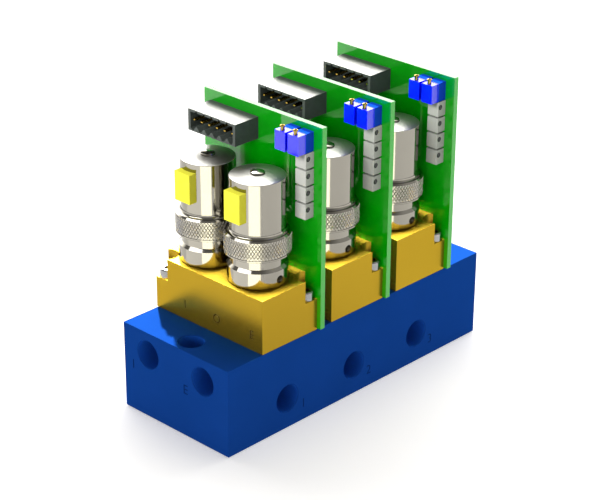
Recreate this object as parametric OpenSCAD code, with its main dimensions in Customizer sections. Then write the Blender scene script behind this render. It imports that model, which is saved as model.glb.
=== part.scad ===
// Electronic pressure regulator: three regulator units side by side on one ported manifold.
// Each unit has an inlet valve and an exhaust valve in a brass body and its own circuit board.
// X runs along the manifold, Z is up, and the origin is the centre of the manifold's bottom face.

/* [Manifold] */
// Length of the manifold along X
manifold_l = 100; // [96:1:120]
// Width of the manifold along Y
manifold_w = 40; // [40:1:50]
// Height of the manifold
manifold_h = 25.4; // [24:0.2:32]
// Diameter of the tapped part of each port
port_d = 8; // [7:0.2:8.8]
// Depth of the tapped part of each port
port_depth = 10; // [8:0.5:12]
// Diameter of the two long galleries behind the end ports
gallery_d = 6.6; // [5:0.2:7]
// Distance of each gallery from the middle of the manifold
gallery_dy = 10.5; // [10:0.1:11]
// Height of the galleries over the bottom face
gallery_z = 18.8; // [18:0.1:19.5]
// Height of the outlet ports over the bottom face
outlet_z = 8.8; // [7:0.1:9.5]
// Diameter of the two vertical mounting holes
mount_hole_d = 7; // [5:0.5:7.5]
// Distance of each mounting hole from its end of the manifold
mount_hole_inset = 5; // [4.5:0.25:5.5]

/* [Regulator body] */
// Distance of the first body from the manifold's left end
first_body_x = 12.5; // [12:0.5:14]
// Distance from one unit to the next
unit_pitch = 26; // [25:0.5:27]
// Length of a body along X
body_l = 20.5; // [20:0.1:21]
// Width of a body along Y
body_w = 40.4; // [40:0.1:41]
// Height of a body
body_h = 15.5; // [14:0.5:18]
// Diameter of the round pocket that each cap screw stands in
pocket_d = 6.5; // [6:0.1:7]
// Distance of the pocket's centre from the two faces of its corner
pocket_inset = 2.2; // [2:0.1:2.6]
// Height of the pocket floor over the manifold
flange_h = 9.1; // [8:0.1:10]

/* [Valves] */
// Distance of the valves' axes from the body's left face
valve_x = 9.4; // [9.2:0.1:9.8]
// Distance of each valve's axis from the middle of the body
valve_dy = 9.2; // [9.1:0.05:9.5]
// Outer diameter of the base ring
base_d = 16.2; // [15.8:0.1:16.4]
// Height of the base ring with its bevel
base_h = 5.4; // [5:0.1:6]
// Diameter of the narrow neck over the base ring
neck_d = 14.6; // [14:0.1:15]
// Diameter over the knurl of the lock collar
collar_d = 17.9; // [17.5:0.1:18.1]
// Height of the collar's lower edge over the body
collar_z = 8.1; // [7.8:0.1:8.5]
// Height of the lock collar
collar_h = 6; // [5.5:0.1:6.5]
// Diameter of the coil housing
housing_d = 14.85; // [14.5:0.05:15]
// Height of the coil housing's rim over the body
housing_rim = 28.9; // [28.6:0.1:30]
// Rise of the domed top from the rim to the middle
dome_h = 0.75; // [0.5:0.05:1]
// Diameter of the button at the end of the pole piece
button_d = 3.8; // [3:0.1:4.4]
// Travel of the plunger from the seat to the pole piece
plunger_travel = 0.5; // [0.3:0.1:0.6]
// Diamonds round the knurl
knurl_columns = 48; // [24:4:60]
// Rows of crossings up the knurl
knurl_rows = 6; // [4:2:8]

/* [Circuit board] */
// Thickness of the circuit board
board_t = 1.6; // [1.5:0.1:1.8]
// Width of the circuit board along Y
board_w = 43.3; // [42:0.1:44]
// Height of the board's upper edge over the manifold's bottom face
board_top_z = 82.8; // [82:0.1:86]
// Width of the pin header
header_w = 17.7; // [17.5:0.1:18]
// Height of the pin header
header_h = 6.1; // [5.8:0.1:6.5]
// Depth of the pin header, out from the board
header_depth = 8.5; // [8:0.1:9]
// Distance from one header pin to the next
pin_pitch = 2.88; // [2.8:0.01:2.9]
// Width of a trimmer
trimmer_w = 3.65; // [3.5:0.05:3.8]
// Height of a trimmer
trimmer_h = 5.3; // [5:0.1:5.5]
// Depth of a trimmer, out from the board
trimmer_depth = 5.8; // [5.5:0.1:6]
// Distance from one trimmer to the next
trimmer_pitch = 4.56; // [4.5:0.02:4.8]
// Height of one indicator block
indicator_h = 4.4; // [4.2:0.05:4.5]
// Distance from one indicator block to the next
indicator_pitch = 4.68; // [4.6:0.02:4.8]

/* [Hidden] */
$fn = 48;
UNITS = [1, 2, 3];
INLET = 1;
EXHAUST = -1;
SIDES = [INLET, EXHAUST];
eps = 0.01;

brass = "goldenrod";
nickel = "silver";
board_green = "forestgreen";

// Places of the units and of the parts that each one carries
unit_y = 0.2;
board_x = body_l;
board_y = 0.45;
board_gap = 0.3;
board_h = board_top_z - manifold_h - board_gap;
body_top = manifold_h + body_h;
function unit_x(n) = -manifold_l / 2 + first_body_x + (n - 1) * unit_pitch;
function side_name(side) = side == INLET ? "inlet" : "exhaust";

// Passages
passage_d = 3;
outlet_feed_d = 5;
mount_hole_y = -1.2;
port_bevel = 0.4;
port_end_cone_h = 1.2;
gallery_end = unit_x(3) + valve_x + 4;
seal_recess_d = 6;
seal_recess_h = 1.05;
seal_wire_d = 1;
seal_mean_d = 4.8;
spigot_seal_wire_d = 0.85;
spigot_seal_mean_d = 10.1;
cross_passage_z = 12;
cross_passage_d = 2;

// Cap screws
screw_d = 2.5;
screw_head_d = 4.1;
screw_head_h = 2.5;
screw_depth = 6;
screw_clear_d = 2.8;
screw_edge = 0.3;
screw_hole_spare = 1;
socket_af = 2;
socket_depth = 1.3;

// Valve, with heights over the body's top face
spigot_d = 11;
spigot_h = 6;
recess_d = 11.1;
spigot_edge = 0.4;
ring_groove_top = -0.7;
ring_groove_bottom = -1.7;
ring_groove_depth = 0.95;
seat_gap = 0.3;
seat_gap_d = 15.4;
bevel = 0.8;
neck_end = collar_z + 0.1;
thread_d = 16;
thread_edge = 0.3;
base_top = 11.3;
flange_d = 15.9;
flange_top = 12.7;
spanner_hole_d = 2.3;
spanner_hole_z = 2.1;
spanner_hole_depth = 1.7;
spanner_angles = [-90, 30, 150];
chamber_floor = -4.5;
nozzle_top = -4;
nozzle_d = 2.4;
orifice_d = 1.2;
side_hole_d = 1.2;
side_hole_z = -3.3;
groove_d = 9.8;
groove_h = 1.8;
groove_slope = 0.1;
tube_d = 6;
tube_bore_d = 5.2;
tube_foot = 6;
tube_top = 27.6;
plunger_d = 5.06;
plunger_bottom = nozzle_top + 0.03;
plunger_top = 15;
spring_pocket_d = 3.2;
spring_pocket_z = 11;
pole_d = 5.1;
pole_bottom = plunger_top + plunger_travel + 0.05;
button_top = housing_rim + dome_h + 0.7;
coil_bottom = base_top;
coil_top = 27.6;
coil_d = 12.6;
bobbin_d = 13.1;
bobbin_flange = 0.8;
can_wall = 0.8;
can_roof = 27.8;
edge_round = 0.35;
dome_steps = 6;
button_edge = 0.25;
spring_wire_d = 0.4;
spring_coil_d = 2.3;
spring_turns = 4;
spring_steps = 10;
spring_gap = 0.04;

// Lock collar
collar_bore_clear = 0.06;
collar_lip_z = flange_top + 0.08;
collar_lip_d = housing_d + 0.16;
knurl_depth = 0.32;

// Yellow lead block on each coil housing
lead_w = 5.6;
lead_bottom = 18.6;
lead_top = 26.8;
lead_reach = 9.3;

// Pin header, with its middle measured from the board's middle and the manifold's bottom face
header_y = 10.15;
header_z = 76.75;
header_wall = 0.9;
header_roof = 0.3;
header_floor = 0.3;
header_back = 1.4;
pin_count = 6;
pin_w = 0.64;
pin_recess = 0.6;
pin_tail = 1.2;
ridge_w = 2.1;
ridge_h = 1.15;
tab_h = 0.45;
tab_gap = 0.7;
ridge_tip_d = 0.8;
ridge_tip_w = 0.7;
ridge_tip_drop = 0.4;
pin_tip_l = 0.3;
pin_slack = 0.04;

// Trimmers and indicator blocks, measured as the pin header is
trimmer_z = 78.55;
trimmer_y = -14.5;
trimmer_front = 2.95;
trimmer_screw_x = 0.95;
trimmer_screw_d = 1.2;
trimmer_head_d = 1.65;
trimmer_head_h = 0.4;
trimmer_screw_up = 1.6;
trimmer_screw_down = 2;
trimmer_bore_d = 1.32;
trimmer_slot_w = 0.3;
trimmer_slot_depth = 0.35;
indicator_y = -16.95;
indicator_top_z = 75.7;
indicator_w = 3.7;
indicator_depth = 3.1;
indicator_hole_d = 1.4;
indicator_hole_x = 0.9;
indicator_hole_up = 0.75;
indicator_hole_depth = 2;

// Pressure sensor between the board and the body
sensor_z = 8;
sensor_d = 6.8;
sensor_depth = 3.6;
sensor_pocket_d = 7.2;
sensor_pocket_depth = 4;
sensor_neck_d = 2.4;
sensor_neck_l = 1.4;
sensor_hole_d = 0.8;

// Screws that hold the board to the body
board_screw_d = 2;
board_screw_dy = 12.5;
board_screw_z = 6;
board_screw_head_d = 3.8;
board_screw_head_h = 1.2;
board_screw_depth = 4;
board_screw_slot_w = 0.4;
board_screw_slot_l = 2;
board_screw_slot_depth = 0.6;

// Places

module at_unit(n) translate([unit_x(n), unit_y, manifold_h]) children();

module at_valve(n, side)
    translate([unit_x(n) + valve_x, unit_y + side * valve_dy, body_top]) children();

module at_board(n) translate([unit_x(n) + board_x, board_y, 0]) children();

module along_x(length) rotate([90, 0, 90]) linear_extrude(length) children();

// Points of the two cap screws, in the unit's own frame
function screw_places() = [
    [pocket_inset, body_w / 2 - pocket_inset],
    [body_l - pocket_inset, -body_w / 2 + pocket_inset]
];

// A round passage from one point along X or along Y
module drill_x(d, length) rotate([0, 90, 0]) cylinder(d = d, h = length);
module drill_y(d, length) rotate([-90, 0, 0]) cylinder(d = d, h = length);

// A tapped port that opens at the origin and goes in along +Z
module port_cut() {
    translate([0, 0, -eps]) cylinder(d = port_d, h = port_depth + eps);
    translate([0, 0, -eps]) cylinder(d1 = port_d + 2 * port_bevel, d2 = port_d, h = port_bevel);
    translate([0, 0, port_depth - eps]) cylinder(d1 = port_d, d2 = outlet_feed_d, h = port_end_cone_h);
}

// Manifold

module manifold() {
    color("royalblue")
    difference() {
        translate([-manifold_l / 2, -manifold_w / 2, 0]) cube([manifold_l, manifold_w, manifold_h]);
        for (side = SIDES) {
            translate([-manifold_l / 2, side * gallery_dy, gallery_z]) rotate([0, 90, 0]) port_cut();
            translate([-manifold_l / 2 + port_depth, side * gallery_dy, gallery_z])
                drill_x(gallery_d, gallery_end + manifold_l / 2 - port_depth);
        }
        for (n = UNITS) manifold_unit_cuts(n);
        for (end = [-1, 1])
            translate([end * (manifold_l / 2 - mount_hole_inset), mount_hole_y, -eps])
                cylinder(d = mount_hole_d, h = manifold_h + 2 * eps);
    }
}

module manifold_unit_cuts(n) {
    x = unit_x(n) + valve_x;
    translate([x, -manifold_w / 2, outlet_z]) rotate([-90, 0, 0]) port_cut();
    translate([x, -manifold_w / 2 + port_depth, outlet_z])
        drill_y(outlet_feed_d, manifold_w / 2 - port_depth + unit_y + passage_d / 2);
    translate([x, unit_y, outlet_z]) cylinder(d = passage_d, h = manifold_h - outlet_z + eps);
    for (side = SIDES)
        translate([x, unit_y + side * valve_dy, gallery_z])
            cylinder(d = passage_d, h = manifold_h - gallery_z + eps);
    for (p = screw_places())
        translate([unit_x(n) + p[0], unit_y + p[1], manifold_h - screw_depth - screw_hole_spare])
            cylinder(d = screw_d, h = screw_depth + screw_hole_spare + eps);
}

// Regulator bodies

module regulator_body(n) {
    color(brass) at_unit(n)
    difference() {
        translate([0, -body_w / 2, 0]) cube([body_l, body_w, body_h]);
        for (p = screw_places()) translate([p[0], p[1], 0]) {
            translate([0, 0, flange_h]) cylinder(d = pocket_d, h = body_h);
            corner = sign(p[1]);
            translate([corner > 0 ? -body_l : 0, corner > 0 ? 0 : -body_w, flange_h])
                cube([body_l, body_w, body_h]);
            translate([0, 0, -eps]) cylinder(d = screw_clear_d, h = body_h);
        }
        for (side = SIDES) translate([valve_x, side * valve_dy, 0]) {
            translate([0, 0, body_h - spigot_h]) cylinder(d = recess_d, h = spigot_h + eps);
            translate([0, 0, -eps]) cylinder(d = passage_d, h = body_h);
            translate([0, 0, -eps]) cylinder(d = seal_recess_d, h = seal_recess_h + eps);
        }
        translate([valve_x, 0, -eps]) cylinder(d = passage_d, h = cross_passage_z);
        translate([valve_x, 0, -eps]) cylinder(d = seal_recess_d, h = seal_recess_h + eps);
        translate([valve_x, -valve_dy, cross_passage_z]) drill_y(cross_passage_d, 2 * valve_dy);
        translate([body_l - sensor_pocket_depth, 0, sensor_z])
            drill_x(sensor_pocket_d, sensor_pocket_depth + eps);
        translate([valve_x, 0, sensor_z]) drill_x(sensor_neck_d, body_l - valve_x);
        for (side = SIDES)
            translate([body_l - board_screw_depth - 0.5, side * board_screw_dy, board_screw_z])
                drill_x(board_screw_d, board_screw_depth + 1);
    }
}

module cap_screw() {
    difference() {
        union() {
            cylinder(d = screw_head_d, h = screw_head_h - screw_edge);
            translate([0, 0, screw_head_h - screw_edge])
                cylinder(d1 = screw_head_d, d2 = screw_head_d - 2 * screw_edge, h = screw_edge);
            translate([0, 0, -flange_h - screw_depth])
                cylinder(d = screw_d, h = flange_h + screw_depth + eps);
        }
        translate([0, 0, screw_head_h - socket_depth])
            cylinder(d = socket_af / cos(30), h = socket_depth + eps, $fn = 6);
    }
}

module cap_screws() {
    color("gainsboro")
    for (n = UNITS) at_unit(n)
        for (p = screw_places()) translate([p[0], p[1], flange_h]) cap_screw();
}

module seal_ring(mean_d, wire_d)
    rotate_extrude() translate([mean_d / 2, 0]) circle(d = wire_d, $fn = 24);

module seal_rings() {
    color("dimgray")
    for (n = UNITS) {
        at_unit(n)
            for (y = [-valve_dy, 0, valve_dy])
                translate([valve_x, y, seal_wire_d / 2]) seal_ring(seal_mean_d, seal_wire_d);
        for (side = SIDES) at_valve(n, side)
            translate([0, 0, (ring_groove_top + ring_groove_bottom) / 2])
                seal_ring(spigot_seal_mean_d, spigot_seal_wire_d);
    }
}

// Valves, each drawn with its seat face at the origin

module valve_base() {
    r = spigot_d / 2;
    groove_low = side_hole_z - groove_h / 2;
    difference() {
        rotate_extrude() polygon([
            [0, -spigot_h], [r - spigot_edge, -spigot_h], [r, -spigot_h + spigot_edge],
            [r, groove_low - groove_slope], [groove_d / 2, groove_low],
            [groove_d / 2, groove_low + groove_h], [r, groove_low + groove_h + groove_slope],
            [r, ring_groove_bottom], [r - ring_groove_depth, ring_groove_bottom],
            [r - ring_groove_depth, ring_groove_top], [r, ring_groove_top],
            [r, 0], [seat_gap_d / 2, 0], [seat_gap_d / 2, seat_gap],
            [base_d / 2, seat_gap], [base_d / 2, base_h - bevel], [base_d / 2 - bevel, base_h],
            [neck_d / 2, base_h], [neck_d / 2, neck_end], [thread_d / 2 - thread_edge, neck_end],
            [thread_d / 2, neck_end + thread_edge], [thread_d / 2, base_top], [0, base_top]
        ]);
        translate([0, 0, chamber_floor]) cylinder(d = tube_bore_d, h = base_top + spigot_h);
        translate([0, 0, tube_foot]) cylinder(d = tube_d, h = base_top);
        translate([0, 0, -spigot_h - eps]) cylinder(d = orifice_d, h = 3);
        for (turn = [0, 90]) rotate([0, 0, turn]) translate([-spigot_d / 2, 0, side_hole_z])
            drill_x(side_hole_d, spigot_d);
        for (turn = spanner_angles) rotate([0, 0, turn])
            translate([base_d / 2 - spanner_hole_depth, 0, spanner_hole_z])
                drill_x(spanner_hole_d, spanner_hole_depth + 1);
    }
    difference() {
        translate([0, 0, chamber_floor - eps]) cylinder(d = nozzle_d, h = nozzle_top - chamber_floor + eps);
        translate([0, 0, -spigot_h - eps]) cylinder(d = orifice_d, h = spigot_h);
    }
}

module valve_bases(n) {
    color(nickel) for (side = SIDES) at_valve(n, side) valve_base();
}

// The domed top, from its rim to its middle
function dome(r) = [
    for (i = [0:dome_steps])
        let (part = i / dome_steps)
        [r * (1 - part), housing_rim + dome_h * part * (2 - part)]
];

module coil_housing() {
    r = housing_d / 2;
    rotate_extrude() difference() {
        polygon(concat(
            [[0, base_top], [flange_d / 2, base_top], [flange_d / 2, flange_top], [r, flange_top]],
            [[r, housing_rim - edge_round], [r - 0.3 * edge_round, housing_rim - 0.3 * edge_round]],
            dome(r - edge_round)
        ));
        translate([0, base_top - 1]) square([r - can_wall, can_roof - base_top + 1]);
        square([button_d / 2 + 0.05, button_top + 1]);
    }
}

module coil_housings(n) {
    color(nickel) for (side = SIDES) at_valve(n, side) coil_housing();
}

module lead_block() {
    difference() {
        translate([-lead_reach, -lead_w / 2, lead_bottom])
            cube([lead_reach - 3, lead_w, lead_top - lead_bottom]);
        cylinder(d = housing_d, h = housing_rim);
    }
}

module lead_blocks(n) {
    color("yellow") for (side = SIDES) at_valve(n, side) lead_block();
}

module guide_tubes() {
    color("lightsteelblue")
    for (n = UNITS) for (side = SIDES) at_valve(n, side) translate([0, 0, tube_foot])
        difference() {
            cylinder(d = tube_d - 0.02, h = tube_top - tube_foot);
            translate([0, 0, -eps]) cylinder(d = tube_bore_d, h = tube_top);
        }
}

module solenoid_coils() {
    color("peru")
    for (n = UNITS) for (side = SIDES) at_valve(n, side)
        rotate_extrude() polygon([
            [tube_d / 2 + 0.05, coil_bottom], [bobbin_d / 2, coil_bottom],
            [bobbin_d / 2, coil_bottom + bobbin_flange], [coil_d / 2, coil_bottom + bobbin_flange],
            [coil_d / 2, coil_top - bobbin_flange], [bobbin_d / 2, coil_top - bobbin_flange],
            [bobbin_d / 2, coil_top], [tube_d / 2 + 0.05, coil_top]
        ]);
}

module pole_pieces() {
    color("lightgray")
    for (n = UNITS) for (side = SIDES) at_valve(n, side)
        rotate_extrude() polygon([
            [0, pole_bottom], [pole_d / 2, pole_bottom], [pole_d / 2, can_roof],
            [button_d / 2, can_roof], [button_d / 2, button_top - button_edge],
            [button_d / 2 - button_edge, button_top], [0, button_top]
        ]);
}

module plunger(n, side) {
    color("slategray") at_valve(n, side)
    difference() {
        translate([0, 0, plunger_bottom]) cylinder(d = plunger_d, h = plunger_top - plunger_bottom);
        translate([0, 0, spring_pocket_z]) cylinder(d = spring_pocket_d, h = plunger_top);
    }
}

// The helix of a plunger spring, swept as rings of six points
function spring_ring(turn, height) = [
    for (k = [0:5])
        let (r = spring_coil_d / 2 + spring_wire_d / 2 * cos(60 * k))
        [r * cos(turn), r * sin(turn), height + spring_wire_d / 2 * sin(60 * k)]
];

module spring(n, side) {
    low = spring_pocket_z + spring_gap + spring_wire_d / 2;
    high = pole_bottom - spring_gap - spring_wire_d / 2;
    rings = spring_turns * spring_steps;
    points = [for (i = [0:rings]) each spring_ring(360 * i / spring_steps, low + (high - low) * i / rings)];
    sides = [
        for (i = [0:rings - 1]) for (k = [0:5])
            let (a = 6 * i + k, b = 6 * i + (k + 1) % 6)
            each [[a, b, a + 6], [b, b + 6, a + 6]]
    ];
    start = [for (k = [5:-1:0]) k];
    end = [for (k = [0:5]) 6 * rings + k];
    color("darkgray") at_valve(n, side) polyhedron(points, concat(sides, [start, end]));
}

// Diamond knurl: rows of crossings, with a raised point in the middle of each diamond
module knurled_drum(r_low, r_high, height, columns, rows) {
    step = 360 / columns;
    function ring_point(r, row, column, shift) =
        let (turn = step * (column + (row % 2) / 2 + shift))
        [r * cos(turn), r * sin(turn), height * row / rows];
    function low(row, column) = row * columns + column % columns;
    function high(row, column) = (rows + 1) * columns + (row - 1) * columns + column % columns;
    points = concat(
        [for (row = [0:rows]) for (i = [0:columns - 1]) ring_point(r_low, row, i, 0)],
        [for (row = [1:rows - 1]) for (i = [0:columns - 1]) ring_point(r_high, row, i, 0.5)]
    );
    diamonds = [
        for (row = [1:rows - 1]) for (i = [0:columns - 1])
            let (left = low(row, i), right = low(row, i + 1), peak = high(row, i))
            let (above = low(row + 1, i + row % 2), below = low(row - 1, i + row % 2))
            each [[peak, left, above], [peak, above, right], [peak, right, below], [peak, below, left]]
    ];
    bottom_edge = [for (i = [0:columns - 1]) [low(0, i), low(1, i), low(0, i + 1)]];
    top_edge = [
        for (i = [0:columns - 1])
            [low(rows, i), low(rows, i + 1), low(rows - 1, i + rows % 2)]
    ];
    floor_face = [[for (i = [0:columns - 1]) low(0, i)]];
    roof_face = [[for (i = [columns - 1:-1:0]) low(rows, i)]];
    polyhedron(points, concat(diamonds, bottom_edge, top_edge, floor_face, roof_face));
}

module collar(n, side) {
    r = collar_d / 2;
    color(nickel) at_valve(n, side)
    difference() {
        translate([0, 0, collar_z]) knurled_drum(r - knurl_depth, r, collar_h, knurl_columns, knurl_rows);
        translate([0, 0, collar_z - 1])
            cylinder(d = thread_d + 2 * collar_bore_clear, h = collar_lip_z - collar_z + 1);
        cylinder(d = collar_lip_d, h = collar_z + collar_h + 1);
    }
}

// Circuit boards and what they carry

function pin_y(i) = (i - (pin_count - 1) / 2) * pin_pitch;

module circuit_board(n) {
    color(board_green) at_board(n)
    difference() {
        translate([0, -board_w / 2, manifold_h + board_gap]) cube([board_t, board_w, board_h]);
        for (i = [0:pin_count - 1])
            translate([-eps, header_y + pin_y(i), header_z]) drill_x(1, board_t + 1);
        for (side = SIDES)
            translate([-eps, unit_y - board_y + side * board_screw_dy, manifold_h + board_screw_z])
                drill_x(board_screw_d + 0.3, board_t + 1);
    }
}

module header_opening() {
    inner_w = header_w - 2 * header_wall;
    inner_h = header_h - header_roof - header_floor;
    difference() {
        translate([-inner_w / 2, -header_h / 2 + header_floor]) square([inner_w, inner_h]);
        for (i = [0:pin_count]) translate([pin_y(i - 0.5), -header_h / 2 + header_floor - eps]) {
            polygon([
                [-ridge_w / 2, 0], [-ridge_tip_w / 2, ridge_h - ridge_tip_drop / 2],
                [ridge_tip_w / 2, ridge_h - ridge_tip_drop / 2], [ridge_w / 2, 0]
            ]);
            translate([0, ridge_h - ridge_tip_drop]) circle(d = ridge_tip_d);
        }
        for (i = [0:pin_count - 1]) translate([pin_y(i), header_h / 2 - header_roof - tab_h / 2 + eps])
            square([pin_pitch - tab_gap, tab_h], center = true);
    }
}

module pin_header(n) {
    color("darkslategray") at_board(n) translate([-header_depth, header_y, header_z])
    difference() {
        translate([0, -header_w / 2, -header_h / 2]) cube([header_depth, header_w, header_h]);
        translate([-eps, 0, 0]) along_x(header_depth - header_back + eps) header_opening();
        for (i = [0:pin_count - 1])
            translate([0, pin_y(i) - pin_w / 2 - pin_slack / 2, -pin_w / 2 - pin_slack / 2])
                cube([header_depth + 1, pin_w + pin_slack, pin_w + pin_slack]);
    }
}

module header_pin() {
    length = header_depth - pin_recess + board_t + pin_tail;
    translate([0, pin_w / 2, 0]) rotate([90, 0, 0]) linear_extrude(pin_w) polygon([
        [0, -pin_w / 4], [pin_tip_l, -pin_w / 2], [length, -pin_w / 2],
        [length, pin_w / 2], [pin_tip_l, pin_w / 2], [0, pin_w / 4]
    ]);
}

module header_pins() {
    color("gold")
    for (n = UNITS) at_board(n) translate([-header_depth + pin_recess, header_y, header_z])
        for (i = [0:pin_count - 1]) translate([0, pin_y(i), 0]) header_pin();
}

function trimmer_place(i) = [-trimmer_depth, trimmer_y + i * trimmer_pitch / 2, trimmer_z];

module trimmer_housings(n) {
    color("slateblue") at_board(n)
    for (i = [-1, 1]) translate(trimmer_place(i)) difference() {
        translate([0, -trimmer_w / 2, -trimmer_h / 2]) cube([trimmer_front, trimmer_w, trimmer_h]);
        translate([trimmer_screw_x, 0, trimmer_h / 2 - trimmer_screw_down - 0.1])
            cylinder(d = trimmer_bore_d, h = trimmer_h);
    }
}

module trimmer_bases(n) {
    color("mediumblue") at_board(n)
    for (i = [-1, 1]) translate(trimmer_place(i))
        translate([trimmer_front, -trimmer_w / 2, -trimmer_h / 2])
            cube([trimmer_depth - trimmer_front, trimmer_w, trimmer_h]);
}

module trimmer_screw(n, i) {
    color("gold") at_board(n) translate(trimmer_place(i))
    translate([trimmer_screw_x, 0, trimmer_h / 2]) difference() {
        union() {
            translate([0, 0, -trimmer_screw_down])
                cylinder(d = trimmer_screw_d, h = trimmer_screw_down + trimmer_screw_up);
            translate([0, 0, trimmer_screw_up - trimmer_head_h])
                cylinder(d = trimmer_head_d, h = trimmer_head_h);
        }
        translate([-trimmer_head_d, -trimmer_slot_w / 2, trimmer_screw_up - trimmer_slot_depth])
            cube([2 * trimmer_head_d, trimmer_slot_w, 1]);
    }
}

module indicator_blocks(n) {
    color("lightgray") at_board(n)
    for (i = [0:3]) translate([-indicator_depth, indicator_y, indicator_top_z - i * indicator_pitch])
        difference() {
            translate([0, -indicator_w / 2, -indicator_h]) cube([indicator_depth, indicator_w, indicator_h]);
            translate([indicator_hole_x, -indicator_w / 2 - eps, indicator_hole_up - indicator_h / 2])
                drill_y(indicator_hole_d, indicator_hole_depth);
        }
}

module pressure_sensors() {
    color("lightslategray")
    for (n = UNITS) at_unit(n) translate([body_l - sensor_depth, 0, sensor_z])
        difference() {
            union() {
                drill_x(sensor_d, sensor_depth);
                translate([-sensor_neck_l, 0, 0]) drill_x(sensor_neck_d - 0.1, sensor_neck_l + eps);
            }
            translate([-sensor_neck_l - eps, 0, 0]) drill_x(sensor_hole_d, 2 * sensor_neck_l);
        }
}

module board_screws() {
    color("gainsboro")
    for (n = UNITS) at_unit(n) for (side = SIDES)
        translate([body_l + board_t, side * board_screw_dy, board_screw_z]) difference() {
            union() {
                drill_x(board_screw_head_d, board_screw_head_h);
                translate([-board_t - board_screw_depth, 0, 0])
                    drill_x(board_screw_d - 0.02, board_t + board_screw_depth + eps);
            }
            for (turn = [0, 90]) rotate([turn, 0, 0])
                translate([board_screw_head_h - board_screw_slot_depth, 0, 0])
                    translate([0, -board_screw_slot_l / 2, -board_screw_slot_w / 2])
                        cube([1, board_screw_slot_l, board_screw_slot_w]);
        }
}

manifold();
cap_screws();
board_screws();
seal_rings();
pressure_sensors();
header_pins();
guide_tubes();
solenoid_coils();
pole_pieces();
for (n = UNITS) {
    regulator_body(n);
    circuit_board(n);
    pin_header(n);
    trimmer_housings(n);
    trimmer_bases(n);
    indicator_blocks(n);
    valve_bases(n);
    coil_housings(n);
    lead_blocks(n);
    trimmer_screw(n, 1);
    trimmer_screw(n, -1);
}
for (side = SIDES) for (n = UNITS) {
    collar(n, side);
    plunger(n, side);
    spring(n, side);
}
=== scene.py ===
import math

import bmesh
import bpy
from mathutils import Matrix, Vector


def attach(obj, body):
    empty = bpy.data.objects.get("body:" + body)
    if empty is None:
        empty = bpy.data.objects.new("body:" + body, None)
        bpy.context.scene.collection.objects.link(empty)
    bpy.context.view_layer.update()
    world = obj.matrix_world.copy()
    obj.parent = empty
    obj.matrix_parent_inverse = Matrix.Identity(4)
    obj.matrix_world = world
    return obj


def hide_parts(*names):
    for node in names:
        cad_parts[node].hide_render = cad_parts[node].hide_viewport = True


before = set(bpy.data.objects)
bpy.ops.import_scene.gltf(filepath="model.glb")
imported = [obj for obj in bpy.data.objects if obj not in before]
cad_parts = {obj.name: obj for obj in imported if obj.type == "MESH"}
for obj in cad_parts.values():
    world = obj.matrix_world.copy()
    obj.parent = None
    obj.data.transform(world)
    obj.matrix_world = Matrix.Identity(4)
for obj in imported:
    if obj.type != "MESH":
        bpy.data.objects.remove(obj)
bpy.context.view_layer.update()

MM = 0.001
UNITS = (1, 2, 3)
ROOT = "manifold_assembly"

# Places on the model, in millimetres
MANIFOLD_LENGTH, MANIFOLD_WIDTH, MANIFOLD_HEIGHT = 100.0, 40.0, 25.4
UNIT_PITCH = 26.0
UNIT_LEFT = {n: -37.5 + UNIT_PITCH * (n - 1) for n in UNITS}
BODY_LENGTH, BODY_FRONT, BODY_BACK, BODY_TOP = 20.5, -20.0, 20.4, 40.9
VALVE_X = {n: UNIT_LEFT[n] + 9.4 for n in UNITS}
VALVE_Y = {"inlet": 9.4, "exhaust": -9.0}
VALVES = [(n, side) for n in UNITS for side in VALVE_Y]
BOARD_FRONT = {n: UNIT_LEFT[n] + BODY_LENGTH for n in UNITS}
BOARD_THICKNESS = 1.6
HEADER_Y, HEADER_Z, PIN_PITCH, PINS = 10.6, 76.75, 2.88, 6
TRIMMER_Y = {"zero": -11.77, "span": -16.33}
INDICATOR_Y, INDICATOR_TOP, INDICATOR_PITCH, INDICATORS = -16.5, 75.7, 4.68, 4

# Ways that holes are drilled and marks face
LEFT, FRONT = (-1, 0, 0), (0, -1, 0)
RIGHTWARD, BACKWARD, UPWARD = (1, 0, 0), (0, 1, 0), (0, 0, 1)


# Modelling with Blender's own tools

def point(x, y, z):
    return Vector((x * MM, y * MM, z * MM))


def deselect_all():
    for thing in list(bpy.context.selected_objects):
        thing.select_set(False)
    bpy.context.view_layer.objects.active = None


def choose(piece):
    deselect_all()
    piece.select_set(True)
    bpy.context.view_layer.objects.active = piece


def edit(piece, mode="VERT"):
    choose(piece)
    bpy.ops.object.mode_set(mode="EDIT")
    bpy.ops.mesh.select_mode(type=mode)


def leave_edit():
    bpy.ops.object.mode_set(mode="OBJECT")


def pick(piece, kind, test):
    """Selects the vertices, edges or faces whose middle and direction pass a test, in edit mode."""
    mesh = bmesh.from_edit_mesh(piece.data)
    for part in (mesh.verts, mesh.edges, mesh.faces):
        for item in part:
            item.select_set(False)
    for item in {"VERT": mesh.verts, "EDGE": mesh.edges, "FACE": mesh.faces}[kind]:
        if kind == "VERT":
            middle, way = item.co, item.normal
        elif kind == "EDGE":
            start, end = (vertex.co for vertex in item.verts)
            middle, way = (start + end) / 2, end - start
        else:
            middle, way = item.calc_center_median(), item.normal
        if test(middle / MM, way):
            item.select_set(True)
    mesh.select_flush_mode()
    bmesh.update_edit_mesh(piece.data)


def settle(piece, name):
    """Names a new piece and puts its place into its mesh."""
    piece.name = name
    piece.data.name = name
    choose(piece)
    bpy.ops.object.transform_apply(location=True, rotation=True, scale=True)
    return piece


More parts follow.
